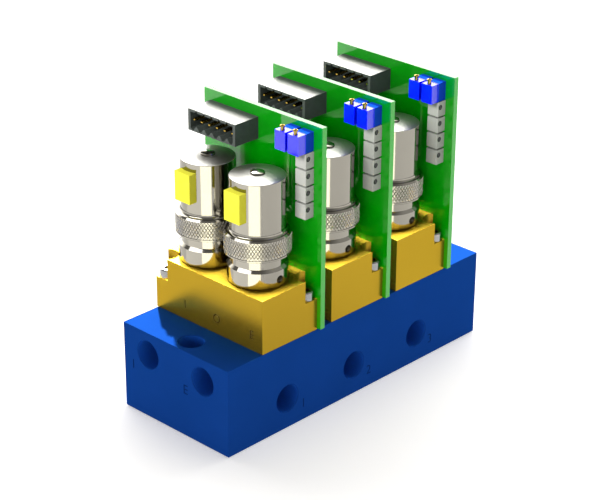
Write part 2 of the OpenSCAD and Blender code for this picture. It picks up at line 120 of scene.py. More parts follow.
def turned(name, profile, axis, steps=96):
    """A turned piece: its profile of (radius, height) points is drawn, then spun about an upright axis."""
    x, y = axis
    start = point(x + profile[0][0], y, profile[0][1])
    bpy.ops.mesh.primitive_plane_add(size=MM, location=start)
    piece = settle(bpy.context.object, name)
    edit(piece)
    mesh = bmesh.from_edit_mesh(piece.data)
    for vertex in list(mesh.verts)[1:]:
        mesh.verts.remove(vertex)
    mesh.verts.ensure_lookup_table()
    mesh.verts[0].co = start
    mesh.verts[0].select_set(True)
    bmesh.update_edit_mesh(piece.data)
    for (r0, z0), (r1, z1) in zip(profile, profile[1:]):
        bpy.ops.mesh.extrude_region_move(TRANSFORM_OT_translate={"value": point(r1 - r0, 0, z1 - z0)})
    bpy.ops.mesh.select_all(action="SELECT")
    bpy.ops.mesh.spin(steps=steps, angle=2 * math.pi, center=point(x, y, 0), axis=UPWARD)
    bpy.ops.mesh.select_all(action="SELECT")
    bpy.ops.mesh.remove_doubles(threshold=0.002 * MM)
    bpy.ops.mesh.normals_make_consistent(inside=False)
    leave_edit()
    return piece


def block(name, low, high, bevel=0.0, segments=2):
    """A block between two corners, with its edges broken."""
    low, high = Vector(low), Vector(high)
    bpy.ops.mesh.primitive_cube_add(size=1, location=(low + high) / 2 * MM)
    piece = bpy.context.object
    piece.scale = (high - low) * MM
    settle(piece, name)
    if bevel:
        edit(piece, "EDGE")
        bpy.ops.mesh.select_all(action="SELECT")
        bpy.ops.mesh.bevel(offset=bevel * MM, segments=segments, profile=0.5)
        leave_edit()
    return piece


def join(pieces, name):
    choose(pieces[0])
    for piece in pieces[1:]:
        piece.select_set(True)
    if len(pieces) > 1:
        bpy.ops.object.join()
    return settle(bpy.context.object, name)


def copy_to(piece, name, shift):
    """A copy with its own mesh, moved in its mesh."""
    twin = piece.copy()
    twin.data = piece.data.copy()
    bpy.context.scene.collection.objects.link(twin)
    twin.data.transform(Matrix.Translation(point(*shift)))
    twin.name = name
    twin.data.name = name
    return twin


def repeat(pattern, places):
    """Copies of a pattern by name and shift, after which the pattern is removed."""
    copies = [copy_to(pattern, name, shift) for name, shift in places.items()]
    bpy.data.objects.remove(pattern)
    return copies


def to_unit(n):
    """The shift from the first unit to another."""
    return (UNIT_PITCH * (n - 1), 0, 0)


def to_valve(n, side):
    """The shift from the first inlet valve to another valve."""
    return (UNIT_PITCH * (n - 1), VALVE_Y[side] - VALVE_Y["inlet"], 0)


def smooth(piece, angle):
    """Smooth shading over gentle edges, with the large faces kept flat."""
    choose(piece)
    bpy.ops.object.shade_smooth_by_angle(angle=math.radians(angle))
    modifier = piece.modifiers.new("even_faces", "WEIGHTED_NORMAL")
    modifier.weight = 100
    modifier.keep_sharp = True
    bpy.ops.object.modifier_apply(modifier=modifier.name)


def finish_with(piece, *finishes):
    for finish in finishes:
        piece.data.materials.append(finish.material)


def cut_with(piece, cutter, finish, crossing=False):
    """Cuts one piece with another, whose finish the cut faces take, and removes the cutter."""
    finish_with(cutter, finish)
    choose(piece)
    modifier = piece.modifiers.new("cut", "BOOLEAN")
    modifier.object = cutter
    modifier.operation = "DIFFERENCE"
    modifier.solver = "EXACT"
    modifier.material_mode = "TRANSFER"
    modifier.use_self = crossing
    bpy.ops.object.modifier_apply(modifier=modifier.name)
    bpy.data.objects.remove(cutter)


def lay_along(piece, direction, place):
    """Lays a piece that was drawn upright at the origin along a direction, in its mesh."""
    turn = Vector(UPWARD).rotation_difference(Vector(direction)).to_matrix().to_4x4()
    piece.data.transform(Matrix.Translation(point(*place)) @ turn)
    return piece


def drill(profile, direction, place, steps=48):
    """A cutter for a round hole, from the profile that a drill would leave."""
    return lay_along(turned("drill", profile, (0, 0), steps), direction, place)


def dress(piece, finish, slot, body, *nodes):
    """Gives a new piece its finish if it has none, lets it ride on its body, and hides the CAD solids it
    replaces.
    """
    if not piece.data.materials:
        finish_with(piece, finish)
    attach(piece, body)
    if nodes:
        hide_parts(*nodes)
    return piece


# Finishes

class Finish:
    """A procedural material: a Principled shader whose colour drifts between two close tones."""

    def __init__(self, name, low, high, scale, detail=3.0, stretch=(1, 1, 1), **sockets):
        self.material = bpy.data.materials.new(name)
        self.material.use_nodes = True
        self.tree = self.material.node_tree
        self.shader = next(n for n in self.tree.nodes if n.type == "BSDF_PRINCIPLED")
        self.set("Base Color", (*((a + b) / 2 for a, b in zip(low, high)), 1.0))
        for socket, value in sockets.items():
            self.set(socket.replace("_", " ").title().replace("Ior", "IOR"), value)
        self.place = self.tree.nodes.new("ShaderNodeTexCoord").outputs["Object"]
        drift = self.ramp(self.noise(scale, detail, stretch), low, high)
        self.link(drift, self.shader.inputs["Base Color"])

    def set(self, socket, value):
        self.shader.inputs[socket].default_value = value

    def link(self, a, b):
        self.tree.links.new(a, b)

    def noise(self, scale, detail, stretch):
        mapping = self.tree.nodes.new("ShaderNodeMapping")
        mapping.inputs["Scale"].default_value = stretch
        self.link(self.place, mapping.inputs["Vector"])
        noise = self.tree.nodes.new("ShaderNodeTexNoise")
        noise.inputs["Scale"].default_value = scale
        noise.inputs["Detail"].default_value = detail
        noise.inputs["Roughness"].default_value = 0.55
        self.link(mapping.outputs["Vector"], noise.inputs["Vector"])
        return noise.outputs["Fac"]

    def ramp(self, source, low, high):
        ramp = self.tree.nodes.new("ShaderNodeValToRGB")
        for stop, position, color in zip(ramp.color_ramp.elements, (0.3, 0.7), (low, high)):
            stop.position = position
            stop.color = (*color, 1.0)
        self.link(source, ramp.inputs["Fac"])
        return ramp.outputs["Color"]

    def wear(self, low, high, scale, detail=4.0, stretch=(1, 1, 1)):
        """Lets the roughness vary over the surface."""
        self.set("Roughness", (low + high) / 2)
        drift = self.ramp(self.noise(scale, detail, stretch), (low,) * 3, (high,) * 3)
        self.link(drift, self.shader.inputs["Roughness"])
        return self

    def grain(self, scale, strength, depth, stretch=(1, 1, 1)):
        """Adds fine relief, depth in millimetres."""
        bump = self.tree.nodes.new("ShaderNodeBump")
        bump.inputs["Strength"].default_value = strength
        bump.inputs["Distance"].default_value = depth * MM
        self.link(self.noise(scale, 3.0, stretch), bump.inputs["Height"])
        self.link(bump.outputs["Normal"], self.shader.inputs["Normal"])
        return self


METAL, DULL = {"metallic": 1.0}, {"specular_ior_level": 0.0}

anodised = Finish("anodised_blue", (0.0049, 0.0397, 0.211), (0.0053, 0.0421, 0.225), 90, 2, **DULL)
anodised.wear(0.6, 0.75, 700).grain(2600, 0.2, 0.006)

# A lighter copy of the anodised blue for the walls of the ports and holes: painted light inside the bores,
# where shade falls
painted_light_bore_blue = Finish("painted_light_bore_blue", (0.0086, 0.073, 0.385), (0.0094, 0.079, 0.415), 300, **DULL)
painted_light_bore_blue.wear(0.6, 0.75, 700)

# A darker copy of the anodised blue for the walls of the engraved marks: painted shade in the grooves
groove_shade_blue = Finish("painted_shade_in_marks_blue", (0.0028, 0.019, 0.108), (0.0036, 0.023, 0.122), 900,
                       roughness=0.8, **DULL)

brass = Finish("machined_brass", (0.345, 0.222, 0.017), (0.355, 0.228, 0.018), 40, 1, metallic=0.86,
               specular_tint=(1.0, 0.8, 0.3, 1.0))
brass.wear(0.265, 0.275, 40, 1)

# A dark copy of the brass for the walls of the engraved marks: painted shade in the grooves
groove_shade_brass = Finish("painted_shade_in_marks_brass", (0.036, 0.022, 0.0018), (0.044, 0.026, 0.0022), 900,
                        metallic=0.2, roughness=0.7)

nickel = Finish("bright_nickel", (0.264, 0.251, 0.218), (0.276, 0.263, 0.228), 120, 2, **METAL)
nickel.wear(0.08, 0.12, 500, stretch=(1, 1, 8))

satin = Finish("satin_nickel", (0.335, 0.33, 0.305), (0.345, 0.34, 0.315), 120, 2, **METAL)
satin.wear(0.34, 0.38, 200)

knurl = Finish("knurled_nickel", (0.322, 0.307, 0.268), (0.338, 0.323, 0.282), 400, **METAL)
knurl.wear(0.24, 0.3, 900)

steel = Finish("bright_steel", (0.28, 0.28, 0.285), (0.32, 0.32, 0.315), 300, **METAL)
steel.wear(0.15, 0.26, 900).grain(2200, 0.1, 0.006)

mask = Finish("green_board_mask", (0.0, 0.294, 0.0016), (0.001, 0.306, 0.0024), 260, ior=1.7)
mask.wear(0.04, 0.07, 400)

socket_black = Finish("black_moulding", (0.021, 0.026, 0.022), (0.028, 0.036, 0.031), 900, ior=1.47)
socket_black.wear(0.54, 0.6, 1100).grain(3000, 0.15, 0.006)

pin_gold = Finish("gold_pin", (0.47, 0.3, 0.05), (0.53, 0.34, 0.06), 900, **METAL)
pin_gold.wear(0.18, 0.3, 1500)

trimmer_light = Finish("bright_blue_moulding", (0.0006, 0.0016, 0.58), (0.001, 0.0024, 0.62), 500, ior=1.75)
trimmer_light.wear(0.1, 0.15, 900)

trimmer_dark = Finish("dark_blue_moulding", (0.00364, 0.03432, 0.286), (0.00416, 0.03848, 0.312), 500, **DULL)
trimmer_dark.wear(0.55, 0.65, 900).grain(2600, 0.12, 0.006)

screw_brass = Finish("trimmer_screw_brass", (0.38, 0.275, 0.065), (0.42, 0.305, 0.075), 1200, **METAL)
screw_brass.wear(0.14, 0.26, 2000)

grey = Finish("grey_moulding", (0.239, 0.242, 0.222), (0.255, 0.258, 0.238), 700, specular_ior_level=0.2)
grey.wear(0.44, 0.56, 900).grain(2800, 0.15, 0.006)

window = Finish("indicator_window", (0.016, 0.0192, 0.0176), (0.0224, 0.0256, 0.024), 900,
                roughness=0.15, ior=1.5)

yellow = Finish("yellow_moulding", (0.39, 0.3718, 0.0286), (0.416, 0.3978, 0.0338), 600, **DULL)
yellow.wear(0.4, 0.5, 800).grain(2400, 0.12, 0.006)

winding = Finish("coil_winding", (0.27, 0.1, 0.03), (0.33, 0.14, 0.04), 300, stretch=(1, 1, 30),
                 metallic=0.9, roughness=0.35)
winding.grain(900, 0.6, 0.05, stretch=(0.1, 0.1, 8))

rubber = Finish("seal_rubber", (0.01, 0.01, 0.01), (0.016, 0.016, 0.016), 800, roughness=0.6)
rubber.grain(2000, 0.3, 0.01)

solder = Finish("solder", (0.27, 0.27, 0.26), (0.33, 0.33, 0.32), 900, **METAL)
solder.wear(0.2, 0.4, 1200)

cad_finish = {
    "manifold": anodised, "cap_screws": steel, "board_screws": steel, "seal_rings": rubber,
    "pressure_sensors": steel, "header_pins": pin_gold, "guide_tubes": steel, "solenoid_coils": winding,
    "pole_pieces": nickel,
}
for n in UNITS:
    cad_finish.update({
        f"regulator_body_{n}": brass, f"circuit_board_{n}": mask, f"pin_header_{n}": socket_black,
        f"trimmer_housings_{n}": trimmer_light, f"trimmer_bases_{n}": trimmer_dark,
        f"indicator_blocks_{n}": grey, f"valve_bases_{n}": nickel, f"coil_housings_{n}": nickel,
        f"lead_blocks_{n}": yellow, f"zero_screw_{n}": screw_brass, f"span_screw_{n}": screw_brass,
    })
    for side in VALVE_Y:
        cad_finish.update({
            f"{side}_collar_{n}": knurl, f"{side}_plunger_{n}": steel, f"{side}_spring_{n}": steel,
        })

for node, finish in cad_finish.items():
    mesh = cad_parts[node].data
    mesh.materials.clear()
    mesh.materials.append(finish.material)


# Knurled lock collars

COLLAR_BOTTOM, COLLAR_TOP = 49.0, 55.0
KNURL_BOTTOM, KNURL_TOP = 49.5, 54.52
KNURL_COLUMNS, KNURL_RINGS = 64, 7
DIAMOND_MARGIN, DIAMOND_RISE = 0.12, 0.15
GROOVE_RADIUS, LAND_RADIUS = 8.74, 8.9
COVE_RADIUS, COVE_MOUTH = 0.91, 8.42
LEDGE_HEIGHT = 53.68


def knurled_collar(name, axis):
    """Draws a lattice up in rings, raises its diamonds, then draws on the lip, the cove and the bore."""
    step = (KNURL_TOP - KNURL_BOTTOM) / KNURL_RINGS
    bpy.ops.mesh.primitive_circle_add(vertices=2 * KNURL_COLUMNS, radius=GROOVE_RADIUS * MM,
                                      location=point(*axis, KNURL_BOTTOM))
    piece = settle(bpy.context.object, name)
    edit(piece, "EDGE")
    bpy.ops.mesh.select_all(action="SELECT")
    for _ in range(KNURL_RINGS):
        bpy.ops.mesh.extrude_region_move(TRANSFORM_OT_translate={"value": (0, 0, step * MM)})
    bpy.ops.mesh.select_all(action="SELECT")
    bpy.ops.mesh.normals_make_consistent(inside=False)

    def ring_of(place):
        return round((place.z - KNURL_BOTTOM) / step)

    def middle_of_diamond(place, _):
        turn = math.atan2(place.y - axis[1], place.x - axis[0]) / (math.pi / KNURL_COLUMNS)
        return 0 < ring_of(place) < KNURL_RINGS and (ring_of(place) + round(turn)) % 2 == 0

    def whole_diamond(place, way):
        return middle_of_diamond(place, way) and abs((place.z - KNURL_BOTTOM) / step - ring_of(place)) < 0.1

    def ring_edge(height, reach):
        return lambda place, along: abs(place.z - height) < reach and abs(along.z) < 1e-6

    bpy.ops.mesh.select_mode(type="VERT")
    pick(piece, "VERT", middle_of_diamond)
    bpy.ops.transform.resize(value=(1.01, 1.01, 1), center_override=point(*axis, 0))
    bpy.ops.mesh.select_all(action="SELECT")
    bpy.ops.mesh.quads_convert_to_tris(quad_method="SHORTEST_DIAGONAL")
    pick(piece, "VERT", middle_of_diamond)
    bpy.ops.mesh.dissolve_verts()
    bpy.ops.mesh.select_mode(type="FACE")
    pick(piece, "FACE", whole_diamond)
    bpy.ops.mesh.inset(thickness=DIAMOND_MARGIN * MM, depth=DIAMOND_RISE * MM, use_individual=True)

    turns = [math.radians(turn) for turn in range(0, 91, 15)]
    cove = [(COVE_MOUTH - COVE_RADIUS * math.sin(turn), COLLAR_TOP + COVE_RADIUS * (1 - math.cos(turn)))
            for turn in turns]
    upper = [(LAND_RADIUS, COLLAR_TOP - 0.47), *cove, (7.51, LEDGE_HEIGHT)]
    lower = [(LAND_RADIUS, KNURL_BOTTOM - 0.01), (LAND_RADIUS, COLLAR_BOTTOM + 0.12),
             (8.78, COLLAR_BOTTOM), (8.06, COLLAR_BOTTOM), (8.06, LEDGE_HEIGHT)]
    for height, path in ((KNURL_TOP, upper), (KNURL_BOTTOM, lower)):
        bpy.ops.mesh.select_mode(type="EDGE")
        pick(piece, "EDGE", ring_edge(height, 0.001))
        last = GROOVE_RADIUS
        for radius, z in path:
            bpy.ops.mesh.extrude_region_move(TRANSFORM_OT_translate={"value": (0, 0, (z - height) * MM)})
            bpy.ops.transform.resize(value=(radius / last, radius / last, 1), center_override=point(*axis, z))
            last, height = radius, z
    pick(piece, "EDGE", ring_edge(LEDGE_HEIGHT, 0.01))
    bpy.ops.mesh.bridge_edge_loops()
    bpy.ops.mesh.select_all(action="SELECT")
    bpy.ops.mesh.normals_make_consistent(inside=False)
    leave_edit()
    return piece


first_axis = (VALVE_X[1], VALVE_Y["inlet"])
pattern = knurled_collar("collar_pattern", first_axis)
finish_with(pattern, knurl, nickel)
for face in pattern.data.polygons:
    if not KNURL_BOTTOM < face.center.z / MM < KNURL_TOP:
        face.material_index = 1
smooth(pattern, 20)
collars = repeat(pattern, {f"knurled_{side}_collar_{n}": to_valve(n, side) for n, side in VALVES})
for piece in collars:
    node = piece.name.removeprefix("knurled_")
    dress(piece, knurl, "knurled_nickel", node, node)


# Valve bases, coil housings and pole pieces, turned with their axes upright

def coil_can(name, axis):
    """A deep can with a flange below and a shallow domed top, which is faced, so it is duller."""
    side, roof_edge, roof_start, rise = 7.425, 7.22, 70.02, 0.48
    roof = [(roof_edge * (1 - part), roof_start + rise * part * (2 - part))
            for part in (0, 0.1, 0.22, 0.36, 0.5, 0.63)]
    flange = [(7.95, 52.2), (7.95, 53.45), (7.8, 53.6), (side, 53.6)]
    shoulder = [(side, 69.82), (7.39, 69.93), (7.32, 70.0)]
    inside = [(1.98, 70.45), (1.98, 68.7), (6.6, 68.7), (6.6, 52.2), (7.95, 52.2)]
    can = turned(name, flange + shoulder + roof + inside, axis)
    finish_with(can, nickel, satin)
    for face in can.data.polygons:
        if face.normal.z > 0.6 and face.center.z / MM > 69.5:
            face.material_index = 1
    return can


def pole_piece(name, axis):
    """The pole piece, whose button shows in the middle of the can's top."""
    pole = [(0, 56.45), (2.55, 56.45), (2.55, 68.7)]
    button = [(1.9, 68.7), (1.9, 70.78), (1.85, 70.88), (1.74, 70.93), (0, 70.93)]
    return turned(name, pole + button, axis, 48)


def valve_base(name, axis):
    """The base: a spigot with its grooves, a ring with spanner holes, a neck and a threaded crown."""
    spigot = [(0.6, 34.9), (5.1, 34.9), (5.5, 35.3), (5.5, 36.6), (4.9, 36.7), (4.9, 38.5),
              (5.5, 38.6), (5.5, 39.2), (4.55, 39.2), (4.55, 40.2), (5.5, 40.2), (5.5, 40.9)]
    ring = [(7.3, 40.9), (7.3, 41.15), (8.0, 41.15), (8.1, 41.25), (8.1, 45.5), (7.3, 46.3)]
    crown = [(7.3, 49.1), (7.7, 49.1), (8.0, 49.4), (8.0, 52.2)]
    bore = [(3.0, 52.2), (3.0, 46.9), (2.6, 46.9), (2.6, 36.4), (1.2, 36.4), (1.2, 36.9),
            (0.6, 36.9), (0.6, 34.9)]
    base = turned(name, spigot + ring + crown + bore, axis)
    holes = []
    for turn in (-90, 30, 150):
        way = Vector((math.cos(math.radians(turn)), math.sin(math.radians(turn)), 0))
        mouth = Vector((*axis, 43.0)) + way * 8.6
        holes.append(drill(((0, 0), (1.1, 0), (1.1, 2.4), (0, 3.0)), -way, mouth, 32))
    finish_with(base, nickel)
    cut_with(base, join(holes, "spanner_holes"), nickel)
    return base


def in_pairs(make, name, node):
    """Makes one piece of the inlet and the exhaust part of each unit."""
    pattern = make("valve_pattern", first_axis)
    smooth(pattern, 25)
    pairs = [join([copy_to(pattern, f"{side}_copy", to_valve(n, side)) for side in VALVE_Y], f"{name}_{n}")
             for n in UNITS]
    bpy.data.objects.remove(pattern)
    for n, pair in zip(UNITS, pairs):
        dress(pair, nickel, "nickel_plate", ROOT, f"{node}_{n}")
    return pairs


cans = in_pairs(coil_can, "domed_coil_housings", "coil_housings")
bases = in_pairs(valve_base, "turned_valve_bases", "valve_bases")
pattern = pole_piece("pole_pattern", first_axis)
smooth(pattern, 25)
poles = repeat(pattern, {f"{side}_pole_{n}": to_valve(n, side) for n, side in VALVES})
buttons = dress(join(poles, "pole_piece_buttons"), nickel, "nickel_plate", ROOT, "pole_pieces")


# Port marks, engraved

def engraver(text, height, place, facing):
    """A cutter in the shape of a mark: text made a mesh, then turned to face its wall."""
    bpy.ops.object.text_add(location=(0, 0, 0))
    letter = bpy.context.object
    letter.data.body = text
    letter.data.size = height * MM / 0.73
    letter.data.align_x = "CENTER"
    letter.data.align_y = "CENTER"
    letter.data.offset = -0.012 * height * MM
    letter.data.extrude = 0.12 * MM
    letter.data.resolution_u = 4
    choose(letter)
    bpy.ops.object.convert(target="MESH")
    letter = bpy.context.object
    across = Vector(UPWARD).cross(Vector(facing))
    turn = Matrix((across, UPWARD, facing)).transposed().to_4x4()
    letter.data.transform(Matrix.Translation(point(*place)) @ turn)
    edit(letter)
    bpy.ops.mesh.select_all(action="SELECT")
    bpy.ops.mesh.remove_doubles(threshold=0.001 * MM)
    bpy.ops.mesh.normals_make_consistent(inside=False)
    leave_edit()
    return letter


# Manifold block

END_X, SIDE_Y = MANIFOLD_LENGTH / 2, MANIFOLD_WIDTH / 2
GALLERY_Y, GALLERY_Z, OUTLET_Z = 10.5, 18.8, 8.8
MOUNTING_X, MOUNTING_Y = 45.0, -1.2
PORT_MARK, END_MARK_Z, FRONT_MARK_Z = 2.9, 13.9, 5.0
SIDE_RIM, TOP_RIM = 0.55, 0.3


def port(place, direction, run):
    """A tapped port with a countersunk mouth and the passage behind it."""
    mouth = ((0, -1), (4.3, -1), (4.2, 0), (4.0, 0.2))
    passage = ((4.0, 10), (3.3, 10.8), (3.3, run), (0, run))
    return drill(mouth + passage, direction, place)


def mounting_hole(x):
    """A hole from the top to the bottom, broken at both mouths."""
    lower = ((0, -1), (3.7, -1), (3.7, 0), (3.5, 0.2))
    upper = ((3.5, MANIFOLD_HEIGHT - 0.2), (3.7, MANIFOLD_HEIGHT), (3.7, 27), (0, 27))
    return drill(lower + upper, UPWARD, (x, MOUNTING_Y, 0))


manifold = block("bevelled_manifold", (-END_X, -SIDE_Y, 0), (END_X, SIDE_Y, MANIFOLD_HEIGHT), 0.2)
finish_with(manifold, anodised)
ports = [port((-END_X, y, GALLERY_Z), RIGHTWARD, 77) for y in (-GALLERY_Y, GALLERY_Y)]
ports += [port((VALVE_X[n], -SIDE_Y, OUTLET_Z), BACKWARD, 21) for n in UNITS]
# The walls of the ports and holes take the lighter blue, which is painted light in the bores
for cutter in ports + [mounting_hole(x) for x in (-MOUNTING_X, MOUNTING_X)]:
    cut_with(manifold, cutter, painted_light_bore_blue)
# The rims of the holes are anodised like the faces around them
for face in manifold.data.polygons:
    x, y, z = face.center / MM
    at_side = abs(x) > END_X - SIDE_RIM or abs(y) > SIDE_Y - SIDE_RIM
    if at_side or not TOP_RIM < z < MANIFOLD_HEIGHT - TOP_RIM:
        face.material_index = 0
marks = [engraver(text, PORT_MARK, (-END_X, y, END_MARK_Z), LEFT)
         for text, y in (("I", 16.35), ("E", -4.0))]
marks += [engraver(text, PORT_MARK, (x, -SIDE_Y, FRONT_MARK_Z), FRONT)
          for text, x in (("1", -22.05), ("2", 4.0), ("3", 30.0))]
# The grooves of the engraved marks take the darker blue, which is painted shade
for mark in marks:
    cut_with(manifold, mark, groove_shade_blue, crossing=True)
smooth(manifold, 30)
dress(manifold, anodised, "blue_anodised", ROOT, "manifold")


# Regulator bodies

POCKET_INSET, POCKET_DEPTH, BEYOND = 2.2, 6.4, 3.0
BODY_MARK, BODY_MARK_Z = 2.6, 29.8


def screw_pocket(x, y, out_x, out_y):
    """Cutters for a corner pocket: its open corner, the counterbore's wall and the screw's hole."""
    floor_z, over = BODY_TOP - POCKET_DEPTH, BODY_TOP + 2
    corner = block("corner", (min(x, out_x), min(y, out_y), floor_z), (max(x, out_x), max(y, out_y), over))
    counterbore = ((0, 0), (3.25, 0), (3.25, POCKET_DEPTH), (3.35, POCKET_DEPTH + 0.1), (3.35, 9), (0, 9))
    wall = drill(counterbore, UPWARD, (x, y, floor_z))
    hole = drill(((0, -1), (1.4, -1), (1.4, 10), (0, 10)), UPWARD, (x, y, MANIFOLD_HEIGHT))
    return [corner, wall, hole]


def regulator_body(name):
    """The first body: a bevelled block with two corner pockets, the valves' bores and its port marks."""
    left, right, low = UNIT_LEFT[1], UNIT_LEFT[1] + BODY_LENGTH, MANIFOLD_HEIGHT
    front, back, inset = BODY_FRONT, BODY_BACK, POCKET_INSET
    body = block(name, (left, front, low), (right, back, BODY_TOP), 0.15)
    finish_with(body, brass)
    cutters = screw_pocket(left + inset, back - inset, left - BEYOND, back + BEYOND)
    cutters += screw_pocket(right - inset, front + inset, right + BEYOND, front - BEYOND)
    for y in VALVE_Y.values():
        bore = ((0, 0), (5.55, 0), (5.55, 5.8), (5.75, 6), (5.75, 8), (0, 8))
        cutters.append(drill(bore, UPWARD, (VALVE_X[1], y, BODY_TOP - 6)))
    cutters.append(drill(((0, 0), (3.6, 0), (3.6, 6), (0, 6)), RIGHTWARD, (right - 4, 0.2, low + 8)))
    for cutter in cutters:
        cut_with(body, cutter, brass)
    # The grooves of the engraved marks take the dark brass, which is painted shade
    for text, y in (("I", 9.1), ("O", -3.0), ("E", -16.06)):
        cut_with(body, engraver(text, BODY_MARK, (left, y, BODY_MARK_Z), LEFT), groove_shade_brass)
    smooth(body, 30)
    return body


bodies = repeat(regulator_body("body_pattern"), {f"engraved_body_{n}": to_unit(n) for n in UNITS})
for n, piece in zip(UNITS, bodies):
    dress(piece, brass, "brass", ROOT, f"regulator_body_{n}")


# Indicator blocks

def indicator_column(name):
    """Four small moulded blocks, one above the other, each with a round dark window in its side."""
    width, height, reach = 3.7, 4.14, 3.1
    back, left, column = BOARD_FRONT[1], INDICATOR_Y - width / 2, []
    front = back - reach
    for row in range(INDICATORS):
        top = INDICATOR_TOP - INDICATOR_PITCH * row
        piece = block("indicator", (front, left, top - height), (back, left + width, top), 0.06, 1)
        finish_with(piece, grey)
        recess = ((0, -0.5), (0.74, -0.5), (0.74, 0.25), (0.5, 0.4), (0, 0.45))
        cut_with(piece, drill(recess, BACKWARD, (front + 0.93, left, top - 1.48), 24), window)
        column.append(piece)
    column = join(column, name)
    smooth(column, 30)
    return column


pattern = indicator_column("indicator_pattern")
indicators = repeat(pattern, {f"windowed_indicators_{n}": to_unit(n) for n in UNITS})
for n, piece in zip(UNITS, indicators):
    dress(piece, grey, "grey_plastic", ROOT, f"indicator_blocks_{n}")


# Trimmer adjusting screws

def adjusting_screw(name, axis):
    """A slotted cheese-head screw, drawn upright."""
    shank = [(0, 80.6), (0.56, 80.6), (0.56, 82.1)]
    head = [(0.68, 82.15), (0.7, 82.2), (0.7, 82.5), (0.64, 82.58), (0, 82.8)]
    screw = turned(name, shank + head, axis, 32)
    finish_with(screw, screw_brass)
    x, y = axis
    cut_with(screw, block("slot", (x - 0.14, y - 1, 82.35), (x + 0.14, y + 1, 83.2)), screw_brass)
    smooth(screw, 35)
    return screw


pattern = adjusting_screw("screw_pattern", (BOARD_FRONT[1] - 4.85, TRIMMER_Y["zero"]))
screws = repeat(pattern, {f"slotted_{kind}_screw_{n}": (UNIT_PITCH * (n - 1), y - TRIMMER_Y["zero"], 0)
                          for n in UNITS for kind, y in TRIMMER_Y.items()})
for piece in screws:
    node = piece.name.removeprefix("slotted_")
    dress(piece, screw_brass, "trimmer_screw_brass", node, node)


# Solder joints on the backs of the boards

def solder_joint(place):
    """One small cone of solder around a lead, standing on the board's back."""
    profile = [(0, -0.08), (0.78, -0.08), (0.78, 0.04), (0.55, 0.22), (0.4, 0.55), (0.3, 0.85), (0, 0.95)]
    return lay_along(turned("joint", profile, (0, 0), 12), RIGHTWARD, place)


back = BOARD_FRONT[1] + BOARD_THICKNESS
LEAD_SPREAD = 1.1
places = [(back, HEADER_Y + PIN_PITCH * (pin - (PINS - 1) / 2), HEADER_Z) for pin in range(PINS)]
places += [(back, y + side, z) for y in TRIMMER_Y.values()
           for side, z in ((-LEAD_SPREAD, 79.9), (LEAD_SPREAD, 79.9), (0, 77.2))]
places += [(back, INDICATOR_Y + side, INDICATOR_TOP - INDICATOR_PITCH * row - 2.1)
           for row in range(INDICATORS) for side in (-LEAD_SPREAD, LEAD_SPREAD)]
pattern = join([solder_joint(place) for place in places], "joint_pattern")
smooth(pattern, 60)
for piece in repeat(pattern, {f"solder_joints_{n}": to_unit(n) for n in UNITS}):
    dress(piece, solder, "steel", ROOT)


# Camera and floor

def look_from(place, azimuth, elevation, roll, lens):
    """A camera at the photo's place and angle."""
    a, e, r = math.radians(azimuth), math.radians(elevation), math.radians(roll)
    back = Vector((math.sin(a) * math.cos(e), -math.cos(a) * math.cos(e), math.sin(e)))
    right = Vector((math.cos(a), math.sin(a), 0))
    up = back.cross(right)
    across = math.cos(r) * right + math.sin(r) * up
    upward = -math.sin(r) * right + math.cos(r) * up
    data = bpy.data.cameras.new("camera")
    data.lens = lens
    data.sensor_width = 36.0
    data.clip_start = 0.01
    camera = bpy.data.objects.new("camera", data)
    bpy.context.scene.collection.objects.link(camera)
    turn = Matrix((across, upward, back)).transposed().to_4x4()
    camera.matrix_world = Matrix.Translation(place) @ turn
    bpy.context.scene.camera = camera


look_from(place=(-0.34444, -0.32712, 0.2596), azimuth=-46.239, elevation=25.176, roll=0.358, lens=114.5)

bpy.ops.mesh.primitive_plane_add(size=4, location=(0, 0, -0.0002))
floor = bpy.context.object
floor.name = "floor"
pale = Finish("pale_floor", (0.796, 0.796, 0.806), (0.804, 0.804, 0.814), 3, roughness=0.9,
              emission_color=(1.0, 0.99, 0.97, 1.0), emission_strength=0.38, **DULL)
finish_with(floor, pale)


# Lights

def lamp(name, kind, place, aim, power, color=(1, 1, 1), **values):
    """A lamp at a place that points at its aim, both in metres."""
    data = bpy.data.lights.new(name, kind)
    data.energy = power
    data.color = color
    for key, value in values.items():
        setattr(data, key, value)
    made = bpy.data.objects.new(name, data)
    bpy.context.scene.collection.objects.link(made)
    made.location = place
    made.rotation_euler = (Vector(aim) - Vector(place)).to_track_quat("-Z", "Y").to_euler()
    return made


def light_only(light, objects, state="INCLUDE"):
    """The light reaches only these objects, or all but these."""
    receivers = bpy.data.collections.new(light.name + "_receivers")
    for thing in objects:
        receivers.objects.link(thing)
    light.light_linking.receiver_collection = receivers
    for entry in receivers.collection_objects:
        entry.light_linking.link_state = state


def softbox(name, place, aim, power, size, receivers, color=(1, 1, 1)):
    """A soft oblong light for some pieces only."""
    light = lamp(name, "AREA", place, aim, power, color, shape="RECTANGLE", size=size[0], size_y=size[1])
    light_only(light, receivers)


